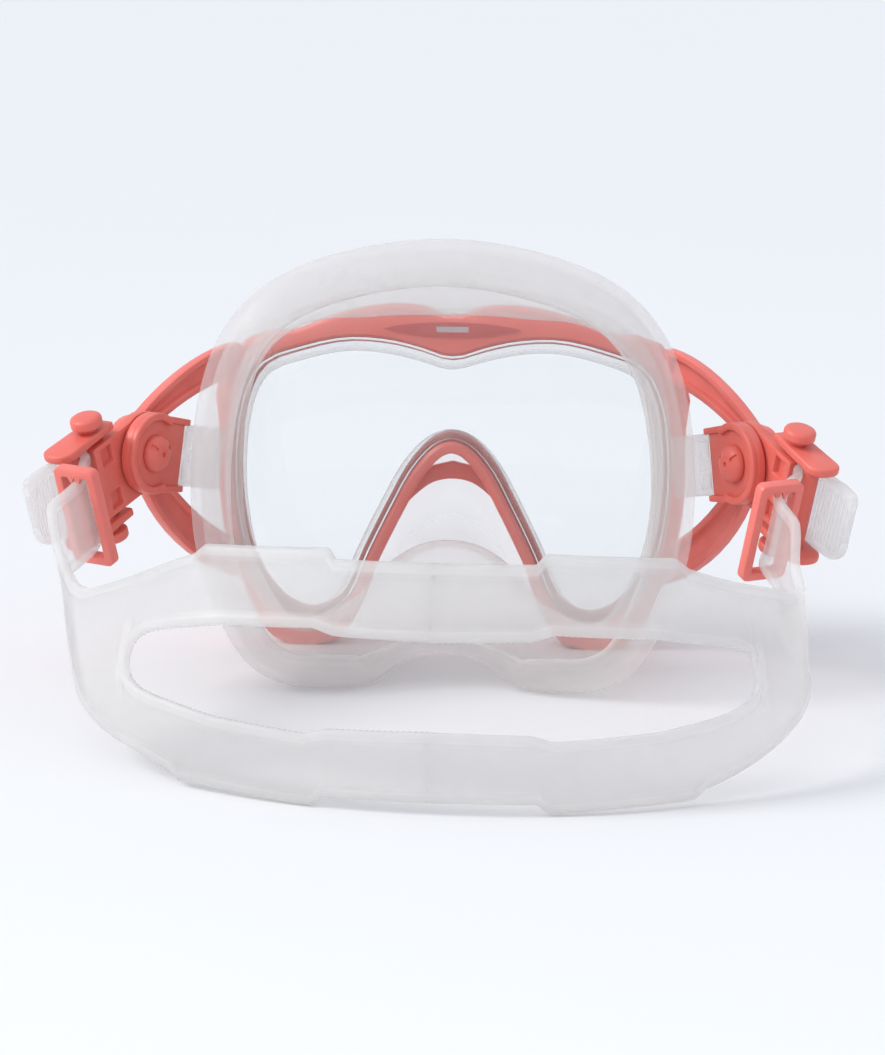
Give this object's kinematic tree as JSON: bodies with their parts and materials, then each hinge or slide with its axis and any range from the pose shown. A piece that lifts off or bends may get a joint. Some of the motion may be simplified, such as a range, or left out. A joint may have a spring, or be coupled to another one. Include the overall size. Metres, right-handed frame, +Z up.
{
  "type": "diving mask",
  "caption": "Single-lens diving mask with a soft clear skirt, coral frame, swivel strap buckles and a split silicone head strap.",
  "frame": {"origin": "middle of the bottom of the whole mask's box, on the surface it stands on", "axes": "+Z up, +Y the way the lens looks, -Y toward the face opening and the head strap, +X to the wearer's left"},
  "size_m": [0.1974, 0.1578, 0.112],
  "materials": {
    "coral_plastic": "satin moulded",
    "coral_buckle": "satin moulded",
    "clear_silicone": "milky translucent, satin",
    "lens_glass": "clear polished"
  },
  "bodies": {
    "mask": {"lens": "lens_glass", "main_frame": "coral_plastic", "front_bezel": "coral_plastic", "brow_clip": "coral_plastic", "skirt": "clear_silicone", "right_side_plate": "coral_buckle", "left_side_plate": "coral_buckle", "right_pivot_pin": "coral_buckle", "left_pivot_pin": "coral_buckle"},
    "strap": {"strap_band": "clear_silicone"},
    "right_buckle": {"right_buckle_base": "coral_buckle", "right_strap_carrier": "coral_buckle", "right_strap_end": "clear_silicone"},
    "left_buckle": {"left_buckle_base": "coral_buckle", "left_strap_carrier": "coral_buckle", "left_strap_end": "clear_silicone"},
    "right_upper_knob": {"right_upper_button": "coral_buckle"},
    "right_lower_knob": {"right_lower_button": "coral_buckle"},
    "left_upper_knob": {"left_upper_button": "coral_buckle"},
    "left_lower_knob": {"left_lower_button": "coral_buckle"},
    "right_strap_keeper": {"right_keeper": "coral_buckle"},
    "left_strap_keeper": {"left_keeper": "coral_buckle"}
  },
  "joints": [
    {"name": "strap_swing", "type": "hinge", "parent": "mask", "child": "strap", "pos_m": [0, 0.02626, 0.05802], "axis": [-1, 0, 0], "range_deg": [-10, 30]},
    {"name": "right_buckle_swivel", "type": "hinge", "parent": "strap", "child": "right_buckle", "pos_m": [0.0715, 0.02626, 0.05802], "axis": [0.6039, -0.785, -0.1385], "range_deg": [-5, 15]},
    {"name": "left_buckle_swivel", "type": "hinge", "parent": "strap", "child": "left_buckle", "pos_m": [-0.0715, 0.02626, 0.05802], "axis": [0.6039, 0.785, 0.1385], "range_deg": [-5, 15]},
    {"name": "right_upper_press", "type": "slide", "parent": "right_buckle", "child": "right_upper_knob", "axis": [-0.1545, 0.2676, -0.9511], "range_m": [0, 0.0012], "stiffness_N_per_m": 300, "springref_m": -0.0004},
    {"name": "right_lower_press", "type": "slide", "parent": "right_buckle", "child": "right_lower_knob", "axis": [0.1545, -0.2676, 0.9511], "range_m": [0, 0.0012], "stiffness_N_per_m": 300, "springref_m": -0.0004},
    {"name": "left_upper_press", "type": "slide", "parent": "left_buckle", "child": "left_upper_knob", "axis": [0.1545, 0.2676, -0.9511], "range_m": [0, 0.0012], "stiffness_N_per_m": 300, "springref_m": -0.0004},
    {"name": "left_lower_press", "type": "slide", "parent": "left_buckle", "child": "left_lower_knob", "axis": [-0.1545, -0.2676, 0.9511], "range_m": [0, 0.0012], "stiffness_N_per_m": 300, "springref_m": -0.0004},
    {"name": "right_keeper_slide", "type": "slide", "parent": "right_buckle", "child": "right_strap_keeper", "axis": [0.4755, -0.8236, -0.309], "range_m": [0, 0.004]},
    {"name": "left_keeper_slide", "type": "slide", "parent": "left_buckle", "child": "left_strap_keeper", "axis": [-0.4755, -0.8236, -0.309], "range_m": [0, 0.004]}
  ],
  "couplings": [
    {"joint": "right_buckle_swivel", "follows": "strap_swing", "ratio": 0.4974},
    {"joint": "left_buckle_swivel", "follows": "strap_swing", "ratio": 0.4974}
  ]
}
